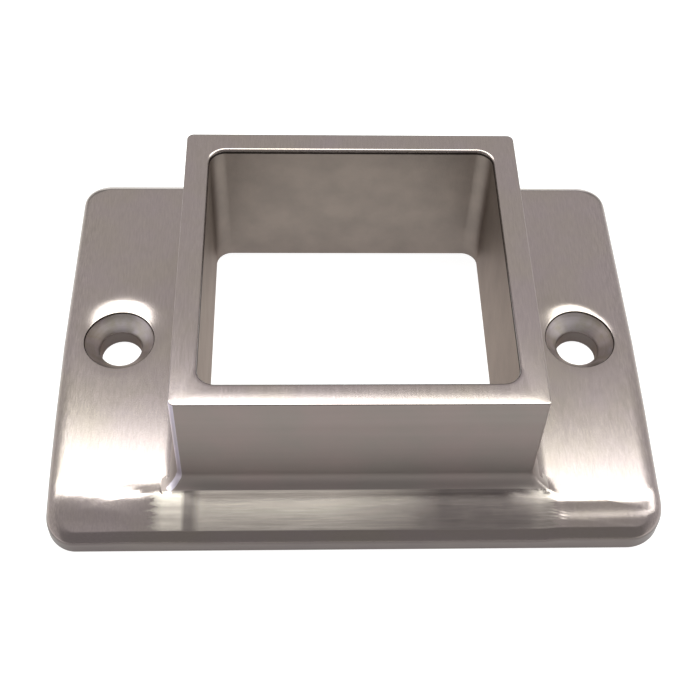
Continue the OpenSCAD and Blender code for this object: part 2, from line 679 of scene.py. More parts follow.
    def edge_rings(self) -> None:
        """The foot's rolled edge, its upright side and its broken bottom edge."""
        f = self.foot
        facing = self.grid.facing()
        side, end = rolled(SIDE_ROLL, f.side_roll), rolled(END_ROLL, f.end_roll)
        for (side_out, side_down), (end_out, end_down) in zip(side, end):
            half_w, half_d = f.half_w - f.side_roll + side_out, f.half_d - f.end_roll + end_out
            share = end_out / f.end_roll
            radii = tuple(f.inner_corner + (r - f.inner_corner) * share for r in f.corners)
            down = side_down * facing[:, 0] ** 2 + end_down * facing[:, 1] ** 2
            z = self.top(self.grid.plan(half_w, half_d, radii)) - down
            # Past the sanded share, and on the upright side below, the band is darkened with painted shade
            self.ring(half_w, half_d, radii, z, Skin.BRUSHED if share < f.sanded else Skin.EDGE)
        side_top = self.rings[-1][:, 2]
        for share in (0.05, 0.5, 0.95, 1.0):
            z = side_top + (f.edge - side_top) * share
            self.ring(f.half_w, f.half_d, f.corners, z, Skin.EDGE)
        for step in range(1, 4):
            turn = step / 3 * math.pi / 2
            back = f.edge * (1 - math.cos(turn))
            z = f.edge * (1 - math.sin(turn))
            radii = tuple(r - back for r in f.corners)
            self.ring(f.half_w - back, f.half_d - back, radii, z, Skin.GROUND)

    def underside_rings(self) -> int:
        """The flat underside, from the bottom edge back to the socket.

        Returns:
            Index of the ring where the eyes' patches start.
        """
        c, f, n = self.collar, self.foot, self.grid.eye_cells
        outer_w, outer_d = f.half_w - f.edge, f.half_d - f.edge
        corner_out = sum(f.corners) / 4
        shares = [0.01, *np.linspace(0.12, 0.985, n + 1), 1.0]
        for share in shares:
            half_w = outer_w + (c.reach - outer_w) * share
            half_d = outer_d + (c.reach - outer_d) * share
            radius = corner_out + (c.socket_corner - corner_out) * share
            radii = tuple(r - f.edge for r in f.corners) if share == shares[0] else (radius,) * 4
            self.ring(half_w, half_d, radii, 0, Skin.GROUND)
        start = len(self.rings) - len(shares) + 1
        for half in (c.reach - 2, c.socket + 0.35):
            self.ring(half, half, c.socket_corner + 0.2, 0, Skin.GROUND)
        return start

    def patch_rim(self, ring: int, first: int, inwards: bool) -> list[int]:
        """Points round an eye's patch, anticlockwise from above from its inner front corner.

        Args:
            ring: The patch's first ring.
            first: The patch's first point on a ring.
            inwards: Whether the rings run towards the axis there, as they do on the underside.

        Returns:
            Indices of the skin's points.
        """
        n = self.grid.eye_cells
        rows = [ring + n - k if inwards else ring + k for k in range(n + 1)]
        columns = [first + k for k in range(n + 1)]
        loop = [(rows[k], columns[0]) for k in range(n)]
        loop += [(rows[n], columns[k]) for k in range(n)]
        loop += [(rows[n - k], columns[n]) for k in range(n)]
        loop += [(rows[0], columns[n - k]) for k in range(n)]
        count = len(self.rings[0])
        return [row * count + column for row, column in loop]

    def build(self, screw_holes: "ScrewHoles") -> bpy.types.Object:
        """Builds the skin, gives it its finishes and sets the two eyes into it.

        Args:
            screw_holes: What sets the eyes into the skin.

        Returns:
            The whole piece, still without its hand-made marks.
        """
        self.socket_rings()
        self.rim_rings()
        self.wall_rings()
        top_start = self.top_rings()
        self.edge_rings()
        under_start = self.underside_rings()
        count, total, n = len(self.rings[0]), len(self.rings), self.grid.eye_cells
        faces, finishes = [], []
        starts = self.grid.patch_starts()
        for j in range(total):
            k = (j + 1) % total
            open_band = top_start <= j < top_start + n or under_start <= j < under_start + n
            for i in range(count):
                if open_band and any(s <= i < s + n for s in starts):
                    continue
                m = (i + 1) % count
                faces.append((j * count + i, k * count + i, k * count + m, j * count + m))
                finishes.append(int(self.finishes[k]))
        points = np.concatenate(self.rings)
        centres = points[np.array(faces)].mean(axis=1)
        finishes = self.belt.worn(centres, np.array(finishes), self.foot.thickness)
        skin = mesh_object("skin", points, faces, finishes.tolist())
        top_rim = self.patch_rim(top_start, starts[0], False)
        under_rim = self.patch_rim(under_start, starts[0], True)
        eye = self.eye_patch(points[top_rim], points[under_rim])
        return screw_holes.set_into(skin, eye)

    def eye_patch(self, top_rim: np.ndarray, under_rim: np.ndarray) -> bpy.types.Object:
        """The right screw hole's patch of skin, centred on its axis.

        Args:
            top_rim: Points of the opening in the skin's top, mm.
            under_rim: Points of the opening in the underside, mm.

        Returns:
            A mesh object whose origin is the hole's axis.
        """
        axis = np.array([self.eye.x, 0, 0])
        away = top_rim - axis
        angle = np.arctan2(away[:, 1], away[:, 0])
        way = np.column_stack([np.cos(angle), np.sin(angle), np.zeros_like(angle)])
        section = self.eye.section(self.foot.thickness - self.eye.dish_drop)
        rings, finishes = [top_rim], [Skin.BRUSHED]
        for share in np.linspace(0, 1, 19)[1:]:
            flat = top_rim * (1 - share) + (axis + way * section[0][0]) * share
            flat[:, 2] = self.top(flat)
            rings.append(flat)
            finishes.append(Skin.BRUSHED)
        for radius, z, finish in section[1:]:
            rings.append(axis + way * radius + np.array([0, 0, z]))
            finishes.append(finish)
        last = rings[-1]
        for share in (0.3, 0.65, 1.0):
            rings.append(last * (1 - share) + under_rim * share)
            finishes.append(Skin.GROUND)
        count = len(top_rim)
        faces, kinds = [], []
        for j in range(len(rings) - 1):
            for i in range(count):
                m = (i + 1) % count
                faces.append((j * count + i, j * count + m, (j + 1) * count + m, (j + 1) * count + i))
                kinds.append(int(finishes[j + 1]))
        return mesh_object("eye", np.concatenate(rings) - axis, faces, kinds)


@dataclass(frozen=True)
class ScrewHoles:
    """The node tree that sets the eye into the skin at each screw hole.

    Args:
        half_spacing: Distance of each hole from the middle, mm.
        materials: The skin's materials, in the order of Skin.
        weld: Distance within which the eye's rim joins the skin's, mm.
    """

    half_spacing: float
    materials: tuple[bpy.types.Material, ...]
    weld: float = 0.002

    def tree(self) -> Tree:
        """Builds the tree: a line of two points, an eye on each, welded into the skin."""
        tree = bpy.data.node_groups.new("screw_holes", "GeometryNodeTree")
        face = tree.interface
        face.new_socket("Geometry", in_out="INPUT", socket_type="NodeSocketGeometry")
        face.new_socket("Eye", in_out="INPUT", socket_type="NodeSocketObject")
        face.new_socket("Half spacing", in_out="INPUT", socket_type="NodeSocketFloat")
        face.new_socket("Weld distance", in_out="INPUT", socket_type="NodeSocketFloat")
        face.new_socket("Geometry", in_out="OUTPUT", socket_type="NodeSocketGeometry")
        given = add(tree, "NodeGroupInput").outputs
        start = add(tree, "ShaderNodeCombineXYZ", links={"X": given["Half spacing"]})
        back = maths(tree, "MULTIPLY", given["Half spacing"], -2.0)
        step = add(tree, "ShaderNodeCombineXYZ", links={"X": back})
        ends = {"Start Location": start, "Offset": step}
        line = add(tree, "GeometryNodeMeshLine", {"Count": 2}, ends)
        still = {"transform_space": "ORIGINAL"}
        eye = add(tree, "GeometryNodeObjectInfo", still, {"Object": given["Eye"]})
        half_turn = maths(tree, "MULTIPLY", add(tree, "GeometryNodeInputIndex"), math.pi)
        turned = add(tree, "ShaderNodeCombineXYZ", links={"Z": half_turn})
        eyes = add(
            tree,
            "GeometryNodeInstanceOnPoints",
            links={"Points": line, "Instance": eye.outputs["Geometry"], "Rotation": turned},
        )
        real = add(tree, "GeometryNodeRealizeInstances", links={"Geometry": eyes})
        both = add(tree, "GeometryNodeJoinGeometry", links={"Geometry": real})
        tree.links.new(given["Geometry"], both.inputs["Geometry"])
        joined = {"Geometry": both, "Distance": given["Weld distance"]}
        welded = add(tree, "GeometryNodeMergeByDistance", links=joined)
        result = add(tree, "GeometryNodeSetShadeSmooth", links={"Geometry": welded})
        finish = add(tree, "GeometryNodeInputNamedAttribute", {"data_type": "INT", "Name": "finish"})
        for kind in Skin:
            chosen = add(
                tree,
                "FunctionNodeCompare",
                {"data_type": "INT", "operation": "EQUAL", 3: int(kind)},
                {2: finish.outputs["Attribute"]},
            )
            result = add(
                tree,
                "GeometryNodeSetMaterial",
                {"Material": self.materials[kind]},
                {"Geometry": result, "Selection": chosen.outputs["Result"]},
            )
        add(tree, "NodeGroupOutput", links={"Geometry": result})
        return tree

    def set_into(self, skin: bpy.types.Object, eye: bpy.types.Object) -> bpy.types.Object:
        """Sets the eyes into the skin and returns the result as a plain mesh object.

        Args:
            skin: The skin with its openings.
            eye: The right hole's patch, centred on its axis.

        Returns:
            The welded casting.
        """
        modifier = skin.modifiers.new("screw_holes", "NODES")
        modifier.node_group = self.tree()
        values = {"Eye": eye, "Half spacing": self.half_spacing * MM, "Weld distance": self.weld * MM}
        for item in modifier.node_group.interface.items_tree:
            if item.in_out == "INPUT" and item.name in values:
                modifier[item.identifier] = values[item.name]
        graph = bpy.context.evaluated_depsgraph_get()
        mesh = bpy.data.meshes.new_from_object(skin.evaluated_get(graph))
        for helper in (skin, eye):
            bpy.data.objects.remove(helper)
        piece = bpy.data.objects.new("flange_casting", mesh)
        bpy.context.scene.collection.objects.link(piece)
        return piece


@dataclass(frozen=True)
class Mark:
    """A soft rise or hollow that hand work left on the top of the casting.

    Args:
        x, y: Its centre, mm.
        long, wide: Its half lengths, mm.
        turn: Angle of its long way from +X, degrees.
        rise: Its height, mm, below 0 for a hollow.
        heights: Heights between which it starts, shows fully, fades and has ended, mm.
    """

    x: float
    y: float
    long: float
    wide: float
    turn: float
    rise: float
    heights: tuple[float, float, float, float] = (1.0, 1.5, 5.5, 6.0)

    def shift(self, points: np.ndarray) -> np.ndarray:
        """How far it moves each point, mm."""
        c, s = math.cos(math.radians(self.turn)), math.sin(math.radians(self.turn))
        dx, dy = points[:, 0] - self.x, points[:, 1] - self.y
        u, v = (dx * c + dy * s) / self.long, (dy * c - dx * s) / self.wide
        shows = window(self.heights, points[:, 2])
        return np.outer(self.rise * np.exp(-(u * u + v * v)) * shows, (0, 0, 1))


@dataclass(frozen=True)
class Hollow:
    """The hollow that a polishing wheel left behind a screw hole.

    Args:
        x: Its middle along X, at the hole, mm.
        wide: How far the hollow reaches past the countersink where it is widest, mm.
        least: How far it reaches at least, mm.
        turn: Direction in which it is widest, degrees from +Y towards -X.
        power: How fast it narrows away from there.
        slope: Its steepest slope.
        drawn: How far the wheel drew the countersink's rim out backwards, mm.
        rim: Radius of the countersink's rim, mm.
        start: Places along Y between which it starts, mm.
        drawing: Distances from the hole's axis between which the drawing out starts, is full,
            fades and has ended, mm.
        heights: Heights between which it starts, shows fully, fades and has ended, mm.
    """

    x: float
    wide: float
    least: float
    turn: float
    power: float
    slope: float
    drawn: float
    rim: float = 4.75
    start: tuple[float, float] = (-2.5, -0.5)
    drawing: tuple[float, float, float, float] = (3.0, 4.6, 4.8, 8.5)
    heights: tuple[float, float, float, float] = (2.2, 3.6, 5.0, 6.0)

    def shift(self, points: np.ndarray) -> np.ndarray:
        """How far it moves each point, mm."""
        dx, y, z = points[:, 0] - self.x, points[:, 1], points[:, 2]
        away = np.arctan2(-dx, y) - math.radians(self.turn)
        reach = self.least + self.wide * np.maximum(np.cos(away), 0) ** self.power
        far = np.hypot(dx, y)
        inside = np.clip(self.rim + reach - far, 0, reach)
        shows = window(self.heights, z)
        down = -self.slope / 2 * inside**2 / reach * ease(*self.start, y) * shows
        back = self.drawn * np.clip(y / self.rim, 0, 1) * window(self.drawing, far) * shows
        return np.column_stack([0 * down, back, down])


@dataclass(frozen=True)
class Crease:
    """A fine straight crease between two ground faces.

    Args:
        start, end: Its ends, mm.
        wide: Its half width, mm.
        rise: Its height, mm.
        above: Heights between which it starts to show, mm.
    """

    start: tuple[float, float]
    end: tuple[float, float]
    wide: float
    rise: float
    above: tuple[float, float] = (1.0, 2.0)

    def shift(self, points: np.ndarray) -> np.ndarray:
        """How far it moves each point, mm."""
        way = np.subtract(self.end, self.start)
        from_start = points[:, :2] - self.start
        along = from_start @ way / (way @ way)
        off = (from_start[:, 0] * way[1] - from_start[:, 1] * way[0]) / math.hypot(*way)
        shows = window((0.0, 0.1, 0.95, 1.0), along) * ease(*self.above, points[:, 2])
        return np.outer(self.rise * np.exp(-((off / self.wide) ** 2)) * shows, (0, 0, 1))


@dataclass(frozen=True)
class Bow:
    """The slight bow of one of the foot's sanded sides.

    Args:
        side: 1 for the right side, -1 for the left.
        bows: Places along Y, and how far the side stands out there, mm.
        near: Distances from the middle between which it starts, mm.
    """

    side: int
    bows: Curve
    near: tuple[float, float] = (33.0, 38.5)

    def shift(self, points: np.ndarray) -> np.ndarray:
        """How far it moves each point, mm."""
        out = np.interp(points[:, 1], *zip(*self.bows))
        return np.outer(out * ease(*self.near, points[:, 0] * self.side), (self.side, 0, 0))


def press(piece: bpy.types.Object, marks: tuple[Mark | Hollow | Crease | Bow, ...]) -> None:
    """Presses the marks into a piece's mesh.

    Args:
        piece: The piece.
        marks: The marks, all taken from the unmarked surface.
    """
    mesh = piece.data
    flat = np.empty(len(mesh.vertices) * 3)
    mesh.vertices.foreach_get("co", flat)
    points = flat.reshape(-1, 3) / MM
    moved = sum((mark.shift(points) for mark in marks), points)
    mesh.vertices.foreach_set("co", (moved * MM).ravel())
    mesh.update()


@dataclass(frozen=True)
class Finish:
    """A finish of the stainless steel, drawn by nodes that read Object coordinates.

    Args:
        name: The finish's common name.
        main: Its colour, sRGB hex.
        other: The colour that it drifts to in patches, sRGB hex.
        patch: Size of its colour patches, mm.
        roughness: Roughness of its reflection.
        streaks: How much the roughness changes from line to line.
        stretch: Anisotropy across its lines.
        edge_tint: Its tint where it is seen at a glancing angle, sRGB hex.
        lines: Which way its lines run.
        spacing: Distance between its lines, mm.
        length: Length of its lines, mm.
        depth: Depth of its lines, mm.
        grain: Size of its grain, mm, or 0 for none.
        grain_depth: Depth of its grain, mm.
        shade: How much its lines differ in lightness, as a share.
        scuffs: How much more its lines differ along the foot's sides, as a share.
        front_shade: How much painted shade darkens the front of the countersinks, as a share.
        highlight_colour: The colour of its painted highlight, sRGB hex.
        zones: Places along X, mm, and how much painted highlight there is there, from 0 to 1.
    """

    name: str
    main: str
    other: str
    patch: float
    roughness: float
    streaks: float = 0.0
    stretch: float = 0.0
    edge_tint: str = "ffffff"
    lines: Lines = Lines.NONE
    spacing: float = 1.0
    length: float = 1.0
    depth: float = 0.003
    grain: float = 0.0
    grain_depth: float = 0.0
    shade: float = 0.0
    scuffs: float = 0.0
    front_shade: float = 0.0
    highlight_colour: str = ""
    zones: Curve = ()

    def turned_way(self, tree: Tree, place: Node) -> tuple[Source, Source]:
        """Adds the nodes for lines that run round the nearer screw hole.

        Args:
            tree: The material's tree.
            place: Node that gives the place in mm.

        Returns:
            What gives the lines' direction, and the place scaled to the lines.
        """
        spot = add(tree, "ShaderNodeSeparateXYZ", links={0: place}).outputs
        centre = maths(tree, "MULTIPLY", maths(tree, "SIGN", spot["X"]), SCREW_X)
        dx = maths(tree, "SUBTRACT", spot["X"], centre)
        less = maths(tree, "MULTIPLY", spot["Y"], -1.0)
        direction = add(tree, "ShaderNodeCombineXYZ", links={"X": less, "Y": dx})
        flat = add(tree, "ShaderNodeCombineXYZ", links={"X": dx, "Y": spot["Y"]})
        away = add(tree, "ShaderNodeVectorMath", {"operation": "LENGTH"}, {0: flat}).outputs["Value"]
        angle = maths(tree, "ARCTAN2", spot["Y"], dx)
        unrolled = add(tree, "ShaderNodeCombineXYZ", links={"X": away, "Y": spot["Z"], "Z": angle})
        scale = (1 / self.spacing, 1 / self.spacing, CONE_RADIUS / self.length)
        return direction, add(tree, "ShaderNodeMapping", {"Scale": scale}, {"Vector": unrolled})

    def way(self, tree: Tree, place: Node, normal: Socket) -> tuple[Source, Source]:
        """Adds the nodes for the way that the lines run.

        Args:
            tree: The material's tree.
            place: Node that gives the place in mm.
            normal: Socket that gives the surface's normal.

        Returns:
            What gives the lines' direction, and the place scaled to the lines.
        """
        if self.lines is Lines.TURN:
            return self.turned_way(tree, place)
        across, along = 1 / self.spacing, 1 / self.length
        wide = add(tree, "ShaderNodeMapping", {"Scale": (along, across, across)}, {"Vector": place})
        if self.lines is Lines.ACROSS:
            return add(tree, "ShaderNodeCombineXYZ", {"X": 1.0}), wide
        facing = add(tree, "ShaderNodeSeparateXYZ", links={0: normal}).outputs
        ends = spread(tree, maths(tree, "ABSOLUTE", facing["Y"]), END_FACING, way="SMOOTHSTEP")
        ways = {"data_type": "VECTOR", 4: (0, 1, 0), 5: (1, 0, 0)}
        direction = add(tree, "ShaderNodeMix", ways, {0: ends}).outputs[1]
        if self.lines is Lines.ROUND:
            level = {"Scale": (along, along, across)}
            return direction, add(tree, "ShaderNodeMapping", level, {"Vector": place})
        deep = add(tree, "ShaderNodeMapping", {"Scale": (across, along, across)}, {"Vector": place})
        both = add(tree, "ShaderNodeMix", {"data_type": "VECTOR"}, {0: ends, 4: deep, 5: wide})
        return direction, both.outputs[1]

    def painted_highlights(self, tree: Tree, place: Node, colour: Socket) -> Socket:
        """Adds the painted highlight, in its zones, over a colour.

        Args:
            tree: The material's tree.
            place: Node that gives the place in mm.
            colour: Socket that gives the colour.

        Returns:
            Socket that gives the new colour.
        """
        spot = add(tree, "ShaderNodeSeparateXYZ", links={0: place}).outputs
        low, high = self.zones[0][0], self.zones[-1][0]
        ramp = add(tree, "ShaderNodeValToRGB", links={0: spread(tree, spot["X"], (low, high))})
        stops = ramp.color_ramp.elements
        for number, (x, share) in enumerate(self.zones):
            at = (x - low) / (high - low)
            stop = stops[0] if number == 0 else stops[-1] if x == high else stops.new(at)
            stop.position, stop.color = at, (share, share, share, 1)
        # The painted highlight is weaker towards the front edge, and there is none behind the collar
        front = spread(tree, spot["Y"], (-29.0, -24.6), (0.45, 1.0))
        both = maths(tree, "MULTIPLY", front, maths(tree, "LESS_THAN", spot["Y"], 0.0))
        share = maths(tree, "MULTIPLY", ramp, both)
        highlight_colour = {"data_type": "RGBA", 7: linear(self.highlight_colour)}
        return add(tree, "ShaderNodeMix", highlight_colour, {0: share, 6: colour}).outputs[2]

    def base(self, tree: Tree, place: Node) -> Socket:
        """Adds the colour, with its drift in patches and its painted highlight.

        Args:
            tree: The material's tree.
            place: Node that gives the place in mm.

        Returns:
            Socket that gives the colour.
        """
        drift = spread(tree, noise(tree, place, 1 / self.patch, 3.0, 0.55), TONE_NOISE)
        both = {"data_type": "RGBA", 6: linear(self.main), 7: linear(self.other)}
        colour = add(tree, "ShaderNodeMix", both, {0: drift}).outputs[2]
        return self.painted_highlights(tree, place, colour) if self.zones else colour

    def brush(self, tree: Tree, shader: Node, place: Node, normal: Socket) -> Node:
        """Stretches the reflection across the lines and makes it streaky along them.

        Args:
            tree: The material's tree.
            shader: The material's shader.
            place: Node that gives the place in mm.
            normal: Socket that gives the surface's normal.

        Returns:
            Node that gives the fine lines, from 0 to 1.
        """
        direction, scaled = self.way(tree, place, normal)
        crossed = {"operation": "CROSS_PRODUCT"}
        tangent = add(tree, "ShaderNodeVectorMath", crossed, {0: direction, 1: normal})
        unit = add(tree, "ShaderNodeVectorMath", {"operation": "NORMALIZE"}, {0: tangent})
        tree.links.new(unit.outputs[0], shader.inputs["Tangent"])
        least, most = self.roughness - self.streaks, self.roughness + self.streaks
        streaky = spread(tree, noise(tree, scaled, STREAK_SHARE, 2.0, 0.5), STREAK_NOISE, (least, most))
        tree.links.new(streaky.outputs[0], shader.inputs["Roughness"])
        return noise(tree, scaled, 1.0, 4.0, 0.6)

    def shaded(self, tree: Tree, place: Node, fine: Node, colour: Socket) -> Node:
        """Adds the lines' lightness, the scuffs and the painted shade at the countersinks' front to a
        colour.

        Args:
            tree: The material's tree.
            place: Node that gives the place in mm.
            fine: Node that gives the fine lines.
            colour: Socket that gives the colour.

        Returns:
            Node that gives the new colour.
        """
        spot = add(tree, "ShaderNodeSeparateXYZ", links={0: place}).outputs
        swing = spread(tree, fine, TONE_NOISE, (-1.0, 1.0))
        scuffed = (self.shade, self.shade + self.scuffs)
        amount = spread(tree, maths(tree, "ABSOLUTE", spot["X"]), SCUFFED_FROM, scuffed)
        # Painted shade: the colour darkens towards the front of the countersinks
        unshaded = spread(tree, spot["Y"], FRONT_SHADE_ENDS, (1 - self.front_shade, 1.0)) if self.front_shade else 1.0
        lighter = maths(tree, "MULTIPLY_ADD", amount, swing, unshaded)
        links = {0: colour, "Scale": lighter}
        return add(tree, "ShaderNodeVectorMath", {"operation": "SCALE"}, links)

    def material(self) -> bpy.types.Material:
        """Makes the finish's material."""
        material = new_material(self.name)
        tree = material.node_tree
        coords = add(tree, "ShaderNodeTexCoord").outputs
        normal = add(tree, "ShaderNodeNewGeometry").outputs["Normal"]
        in_mm = {"operation": "SCALE", "Scale": 1 / MM}
        place = add(tree, "ShaderNodeVectorMath", in_mm, {0: coords["Object"]})
        colour = self.base(tree, place)
        look = {
            "Metallic": 1.0,
            "Roughness": self.roughness,
            "Anisotropic": self.stretch,
            "Specular Tint": linear(self.edge_tint),
        }
        shader = add(tree, "ShaderNodeBsdfPrincipled", look, {"Base Color": colour})
        heights = []
        if self.lines is not Lines.NONE:
            fine = self.brush(tree, shader, place, normal)
            if self.shade:
                shaded = self.shaded(tree, place, fine, colour)
                tree.links.new(shaded.outputs[0], shader.inputs["Base Color"])
            heights.append(maths(tree, "MULTIPLY", fine, self.depth))
        if self.grain:
            bumps = noise(tree, place, 1 / self.grain, 3.0, 0.5)
            heights.append(maths(tree, "MULTIPLY", bumps, self.grain_depth))
        height = heights[0] if len(heights) == 1 else maths(tree, "ADD", *heights)
        bump = add(tree, "ShaderNodeBump", {"Distance": MM, "Strength": 1.0}, {"Height": height})
        tree.links.new(bump.outputs[0], shader.inputs["Normal"])
        add(tree, "ShaderNodeOutputMaterial", links={"Surface": shader})
        return material


@dataclass(frozen=True)
class Camera:
    """The camera, worked out from the casting's edges in the photograph.

    Args:
        yaw: Turn to the right from +Y, degrees.
        pitch: Tilt down from level, degrees.
        roll: Turn about its own axis, degrees.
        place: Where it stands, mm.
        focal_px: Focal length in pixels of the square frame.
        centre_px: Where its axis meets the frame, in pixels from the top left.
        sensor: Width of its sensor, mm.
    """

    yaw: float = 3.724
    pitch: float = 51.924
    roll: float = 2.906
    place: tuple[float, float, float] = (-7.141, -105.473, 144.603)
    focal_px: float = 1272.9
    centre_px: tuple[float, float] = (350.3, 315.4)
    sensor: float = 36.0

    def build(self) -> None:
        """Makes the camera and gives it to the scene."""
        yaw, pitch, roll = (math.radians(a) for a in (self.yaw, self.pitch, self.roll))
        ahead = Vector((math.sin(yaw) * math.cos(pitch), math.cos(yaw) * math.cos(pitch), -math.sin(pitch)))
        level = Vector((math.cos(yaw), -math.sin(yaw), 0))
        up = level.cross(ahead)
        right = level * math.cos(roll) + up * math.sin(roll)
        up = up * math.cos(roll) - level * math.sin(roll)
        data = bpy.data.cameras.new("camera")
        data.sensor_fit = "HORIZONTAL"
        data.sensor_width = self.sensor
        data.lens = self.focal_px / FRAME_PX * self.sensor
        data.shift_x = (FRAME_PX / 2 - self.centre_px[0]) / FRAME_PX
        data.shift_y = (self.centre_px[1] - FRAME_PX / 2) / FRAME_PX
        data.clip_start, data.clip_end = 0.005, 20
        camera = bpy.data.objects.new("camera", data)
        turn = Matrix((right, up, -ahead)).transposed().to_4x4()
        camera.matrix_world = Matrix.Translation(Vector(self.place) * MM) @ turn
        bpy.context.scene.collection.objects.link(camera)
        bpy.context.scene.camera = camera


@dataclass(frozen=True)
class Studio:
    """The white floor and world, the soft lamps overhead and the grey flags round them.

    Args:
        floor_half: Half the floor's width, mm.
        floor_colour: The floor's colour, sRGB hex.
        floor_glow: How much whiter the floor shows itself than its lighting makes it.
        world_level: Strength of the world's light on the object and the floor.
        lamps: Front and back end of each soft lamp, mm, and its brightness, where 1 is white.
        lamp_x: Left and right end of both, mm.
        lamp_z: Their height, mm.
        lamp_turn: Their turn about the upright, degrees.
        lamp_pivot: Place along Y that they are turned about, mm.
        lamp_colour: Their colour.
        flag_radius: Distance of the flags from the casting, mm.
        flag_half: Half their width, mm.
        flags: Angles of each flag's ends over the casting, from the +Y horizon, degrees, and
            its brightness at each end.
    """

    floor_half: float = 4000
    floor_colour: str = "9f9e9c"
    floor_glow: float = 0.92
    world_level: float = 0.3
    lamps: tuple[tuple[float, float, float], ...] = ((50, 348, 7.0), (348, 370, 1.0))
    lamp_x: tuple[float, float] = (-600, 680)
    lamp_z: float = 600
    lamp_turn: float = -4.4
    lamp_pivot: float = 200
    lamp_colour: tuple[float, float, float] = (0.94, 1.0, 0.95)
    flag_radius: float = 640
    flag_half: float = 700
    flags: tuple[tuple[float, float, float, float], ...] = (
        (88.0, 100.0, 0.78, 0.74),
        (100.0, 125.0, 0.74, 0.42),
        (125.0, 178.0, 0.42, 0.42),
        (0.0, 16.0, 0.45, 0.45),
        (16.0, 24.0, 0.45, 1.0),
    )

    def shown(self, tree: Tree) -> Source:
        """Adds nodes that give 1 where the camera, a reflection or a refraction looks."""
        path = add(tree, "ShaderNodeLightPath").outputs
        total = maths(tree, "MAXIMUM", path["Is Camera Ray"], path["Is Glossy Ray"])
        return maths(tree, "MAXIMUM", total, path["Is Transmission Ray"])

    def world(self) -> None:
        """Makes the white world, which lights the object less than it shows."""
        world = bpy.data.worlds.new("studio")
        world.use_nodes = True
        tree = world.node_tree
        tree.nodes.clear()
        level = spread(tree, self.shown(tree), (0.0, 1.0), (self.world_level, 1.0))
        light = add(tree, "ShaderNodeBackground", {"Color": (1, 1, 1, 1)}, {"Strength": level})
        add(tree, "ShaderNodeOutputWorld", links={"Surface": light})
        bpy.context.scene.world = world

    def floor(self) -> None:
        """Makes the floor, whose own colour keeps the casting's shadow."""
        s = self.floor_half
        corners = np.array([(-s, -s, 0), (s, -s, 0), (s, s, 0), (-s, s, 0)], float)
        floor = mesh_object("floor", corners, [(0, 1, 2, 3)], [0])
        material = new_material("white studio paper")
        tree = material.node_tree
        paper = add(tree, "ShaderNodeBsdfDiffuse", {"Color": linear(self.floor_colour)})
        glow = maths(tree, "MULTIPLY", self.shown(tree), self.floor_glow)
        white = add(tree, "ShaderNodeEmission", {"Color": (1, 1, 1, 1)}, {"Strength": glow})
        both = add(tree, "ShaderNodeAddShader", links={0: paper, 1: white})
        add(tree, "ShaderNodeOutputMaterial", links={"Surface": both})
        floor.data.materials.append(material)

    def lamp(self, front: float, back: float, level: float) -> None:
        """Hangs a soft lamp.

        Args:
            front, back: Its ends along Y, mm.
            level: Its brightness, where 1 is white.
        """
        data = bpy.data.lights.new("soft_lamp", "AREA")
        data.shape = "RECTANGLE"
        data.size, data.size_y = (self.lamp_x[1] - self.lamp_x[0]) * MM, (back - front) * MM
        data.energy = level * math.pi * data.size * data.size_y
        data.color = self.lamp_colour
        lamp = bpy.data.objects.new("soft_lamp", data)
        turn = Matrix.Rotation(math.radians(self.lamp_turn), 4, "Z")
        pivot = Vector((sum(self.lamp_x) / 2, self.lamp_pivot, self.lamp_z)) * MM
        lean = Vector((0, (front + back) / 2 - self.lamp_pivot, 0)) * MM
        lamp.matrix_world = Matrix.Translation(pivot + turn.to_3x3() @ lean) @ turn
        bpy.context.scene.collection.objects.link(lamp)

    def flag(self, number: int, low: float, high: float, low_level: float, high_level: float) -> None:
        """Bends a grey flag over the casting, which the camera itself doesn't see.

        Args:
            number: The flag's number.
            low, high: Angles of its ends, degrees.
            low_level, high_level: Its brightness at each end.
        """
        steps = max(2, round((high - low) / 3))
        angles = np.radians(np.linspace(low, high, steps + 1))
        arc = np.column_stack([np.cos(angles), np.sin(angles)]) * self.flag_radius
        points = np.array([(x, y, z) for y, z in arc for x in (-self.flag_half, self.flag_half)])
        faces = [(2 * i, 2 * i + 1, 2 * i + 3, 2 * i + 2) for i in range(steps)]
        flag = mesh_object(f"flag_{number}", points, faces, [0] * steps)
        material = new_material("grey flag cloth")
        tree = material.node_tree
        coords = add(tree, "ShaderNodeTexCoord").outputs
        spot = add(tree, "ShaderNodeSeparateXYZ", links={0: coords["Object"]}).outputs
        angle = maths(tree, "ARCTAN2", spot["Z"], spot["Y"])
        ends = (math.radians(low), math.radians(high))
        level = spread(tree, angle, ends, (low_level, high_level), way="SMOOTHSTEP")
        cloth = add(tree, "ShaderNodeEmission", {"Color": (1, 1, 1, 1)}, {"Strength": level})
        add(tree, "ShaderNodeOutputMaterial", links={"Surface": cloth})
        flag.data.materials.append(material)
        flag.visible_camera = False
        flag.visible_shadow = False

    def build(self) -> None:
        """Makes the world, the floor, the lamps and the flags."""
        self.world()
        self.floor()
        for front, back, level in self.lamps:
            self.lamp(front, back, level)
        for number, ends in enumerate(self.flags):
            self.flag(number, *ends)
        bpy.context.scene.view_settings.view_transform = "Standard"


def mount(name: str) -> dict:
    """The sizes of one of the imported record's mounts, by its name."""
    return next(m["dims"] for m in frame["record"]["mounts"] if m["name"] == name)


SCREW_X = mount("screw_holes")["spacing_x_mm"] / 2

